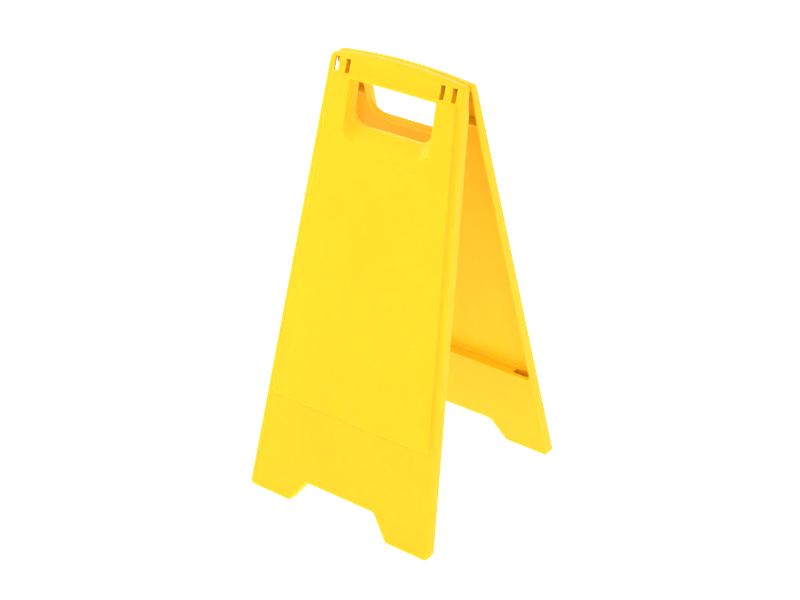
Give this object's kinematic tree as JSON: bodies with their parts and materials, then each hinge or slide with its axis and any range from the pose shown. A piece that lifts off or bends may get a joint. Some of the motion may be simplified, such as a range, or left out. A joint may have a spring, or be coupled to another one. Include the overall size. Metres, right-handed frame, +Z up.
{
  "type": "wet floor sign",
  "caption": "Folding A-frame floor sign: tapering hollow-backed panels hinged by pins at the top, each with a hand hole, a raised blank message field and notched feet.",
  "frame": {"origin": "on the floor, midway between the front and rear feet, under the hinge line", "axes": "+X across the sign, parallel to the hinge; -Y towards the front panel's feet; +Z up"},
  "size_m": [0.2998, 0.3124, 0.6112],
  "materials": {
    "yellow_polypropylene": "moulded polypropylene, soft satin",
    "pin_steel": "bright drawn wire"
  },
  "bodies": {
    "front": {"front_panel": "yellow_polypropylene"},
    "rear": {"rear_panel": "yellow_polypropylene", "hinge_pin_left": "pin_steel", "hinge_pin_right": "pin_steel"}
  },
  "joints": [
    {"name": "fold", "type": "hinge", "parent": "front", "child": "rear", "pos_m": [0, 0, 0.59271], "axis": [-1, 0, 0], "range_deg": [0, 26.6]}
  ]
}
